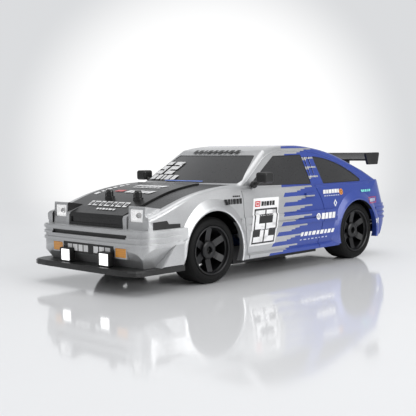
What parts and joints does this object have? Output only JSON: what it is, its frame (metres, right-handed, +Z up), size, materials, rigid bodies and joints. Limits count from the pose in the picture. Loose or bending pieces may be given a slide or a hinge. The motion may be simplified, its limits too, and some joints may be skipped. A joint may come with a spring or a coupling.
{
  "type": "remote control car",
  "caption": "Scale drift coupe: lift-off painted shell with raised lamps, splitter, mirrors and wing over a rear-drive chassis with servo steering, spoked wheels and slick tyres.",
  "frame": {"origin": "On the ground under the middle of the car's length and width", "axes": "+X is the car's left side, the nose faces -Y, +Z is up"},
  "size_m": [0.1244, 0.2634, 0.0837],
  "materials": {
    "body_paint": "Moulded hard shell, painted satin silver at the nose and royal blue at the tail, under a clear coat",
    "dark_panel": "Dark grey satin panel",
    "smoked_glass": "Dark smoked window, semi-gloss and almost opaque",
    "black_trim": "Black moulded plastic with a fine texture",
    "stud_plastic": "Black glossy plastic turn stud",
    "mirror": "Silvered mirror film",
    "lamp_white": "White lamp plastic",
    "led_clear": "Clear LED dome",
    "amber_lens": "Amber lens with fine ribs",
    "red_lens": "Red lens with fine ribs",
    "rim_plastic": "Black satin moulded rim",
    "tyre_rubber": "Black hard tyre compound",
    "chassis_plastic": "Black glass-filled nylon",
    "gear_plastic": "Natural nylon gear",
    "steel": "Bright steel",
    "brass": "Brass",
    "aluminium": "Turned aluminium",
    "battery_wrap": "Blue shrink wrap",
    "circuit_board": "Green circuit board"
  },
  "bodies": {
    "chassis": {"chassis_tub": "chassis_plastic", "gearbox_lower": "chassis_plastic", "gearbox_cover": "chassis_plastic", "motor_can": "steel", "motor_end_cap": "chassis_plastic", "rear_axle_bearings": "steel", "front_beam": "chassis_plastic", "kingpins": "steel", "servo": "chassis_plastic", "battery_pack": "battery_wrap", "control_board": "circuit_board", "power_switch": "chassis_plastic", "body_posts": "chassis_plastic", "chassis_screws": "steel"},
    "shell": {"body_shell": "body_paint", "bonnet": "dark_panel", "grille_panel": "dark_panel", "windscreen": "smoked_glass", "hatch_window": "smoked_glass", "door_windows": "smoked_glass", "quarter_windows": "smoked_glass", "headlamp_housings": "body_paint", "headlamp_reflectors": "lamp_white", "headlamp_leds": "led_clear", "bumper_vent": "black_trim", "indicators": "amber_lens", "bumper_plate": "black_trim", "fog_lamp_cases": "black_trim", "fog_lamp_lenses": "lamp_white", "splitter": "black_trim", "side_markers": "black_trim", "door_mirrors": "black_trim", "mirror_glasses": "mirror", "wing_blade": "black_trim", "wing_end_plates": "black_trim", "wing_struts": "black_trim", "tail_lamps": "red_lens"},
    "stud_left": {"bonnet_stud_left": "stud_plastic"},
    "stud_right": {"bonnet_stud_right": "stud_plastic"},
    "steering_left": {"knuckle_left": "chassis_plastic", "wheel_screw_front_left": "steel"},
    "steering_right": {"knuckle_right": "chassis_plastic", "wheel_screw_front_right": "steel"},
    "wheel_left": {"rim_front_left": "rim_plastic", "tyre_front_left": "tyre_rubber"},
    "wheel_right": {"rim_front_right": "rim_plastic", "tyre_front_right": "tyre_rubber"},
    "link": {"steering_link": "chassis_plastic"},
    "horn": {"servo_horn": "chassis_plastic"},
    "driven_axle": {"rear_axle": "steel", "spur_gear": "gear_plastic", "rear_hex_hubs": "aluminium", "rear_wheel_screws": "steel", "rim_rear_left": "rim_plastic", "rim_rear_right": "rim_plastic", "tyre_rear_left": "tyre_rubber", "tyre_rear_right": "tyre_rubber"},
    "rotor": {"motor_shaft": "steel", "motor_pinion": "brass"},
    "slider": {"switch_slider": "chassis_plastic"}
  },
  "joints": [
    {"name": "body_lift", "type": "slide", "parent": "chassis", "child": "shell", "axis": [0, 0, 1], "range_m": [0, 0.1]},
    {"name": "stud_left_turn", "type": "hinge", "parent": "shell", "child": "stud_left", "pos_m": [0.0138, -0.09505, 0.0536], "axis": [0, 0, 1], "range_deg": [0, 90]},
    {"name": "stud_right_turn", "type": "hinge", "parent": "shell", "child": "stud_right", "pos_m": [-0.0138, -0.09505, 0.0536], "axis": [0, 0, 1], "range_deg": [0, 90]},
    {"name": "steer_left", "type": "hinge", "parent": "chassis", "child": "steering_left", "pos_m": [0.027, -0.06565, 0.0205], "axis": [0, 0, 1], "range_deg": [-28, 28]},
    {"name": "steer_right", "type": "hinge", "parent": "chassis", "child": "steering_right", "pos_m": [-0.027, -0.06565, 0.0205], "axis": [0, 0, 1], "range_deg": [-28, 28]},
    {"name": "link_slide", "type": "slide", "parent": "chassis", "child": "link", "axis": [1, 0, 0], "range_m": [-0.00588, 0.00588]},
    {"name": "horn_turn", "type": "hinge", "parent": "chassis", "child": "horn", "pos_m": [0, -0.04065, 0.0278], "axis": [0, 0, 1], "range_deg": [-28, 28]},
    {"name": "front_left_spin", "type": "hinge", "parent": "steering_left", "child": "wheel_left", "pos_m": [0.04, -0.06565, 0.0205], "axis": [1, 0, 0], "continuous": true},
    {"name": "front_right_spin", "type": "hinge", "parent": "steering_right", "child": "wheel_right", "pos_m": [-0.04, -0.06565, 0.0205], "axis": [1, 0, 0], "continuous": true},
    {"name": "rear_axle_spin", "type": "hinge", "parent": "chassis", "child": "driven_axle", "pos_m": [0, 0.08435, 0.0205], "axis": [1, 0, 0], "continuous": true},
    {"name": "motor_spin", "type": "hinge", "parent": "chassis", "child": "rotor", "pos_m": [0, 0.07235, 0.0205], "axis": [1, 0, 0], "continuous": true},
    {"name": "switch_slide", "type": "slide", "parent": "chassis", "child": "slider", "axis": [1, 0, 0], "range_m": [0, 0.002]}
  ],
  "couplings": [
    {"joint": "steer_right", "follows": "steer_left", "ratio": 1},
    {"joint": "link_slide", "follows": "steer_left", "m_per_rad": -0.012},
    {"joint": "horn_turn", "follows": "steer_left", "ratio": -1},
    {"joint": "motor_spin", "follows": "rear_axle_spin", "ratio": -3}
  ]
}
